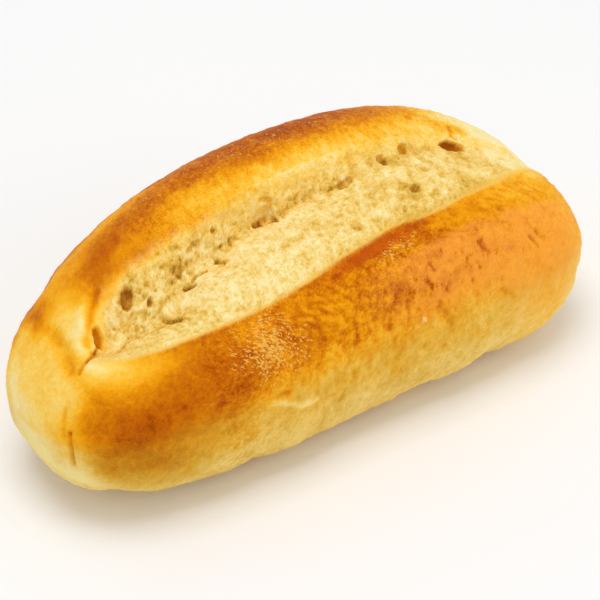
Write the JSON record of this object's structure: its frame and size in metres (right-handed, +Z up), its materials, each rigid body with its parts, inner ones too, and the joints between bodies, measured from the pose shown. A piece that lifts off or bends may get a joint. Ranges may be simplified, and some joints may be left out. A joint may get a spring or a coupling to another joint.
{
  "type": "swiss sweet bun",
  "caption": "Long soft milk bun with a golden egg-washed crust and a lengthwise cut that has opened in baking to show pale porous crumb; rests on a flat base.",
  "frame": {"origin": "middle of the bun's footprint box, at the level of its flat base", "axes": "+X along the bun towards its fuller end, +Y across it towards the high ridge behind the cut, +Z up"},
  "size_m": [0.15, 0.074, 0.0561],
  "materials": {
    "crust": "soft satin egg wash over golden to brown crust, matt pale crumb in the open cut"
  },
  "bodies": {
    "root": {"bun": "crust"}
  },
  "joints": []
}
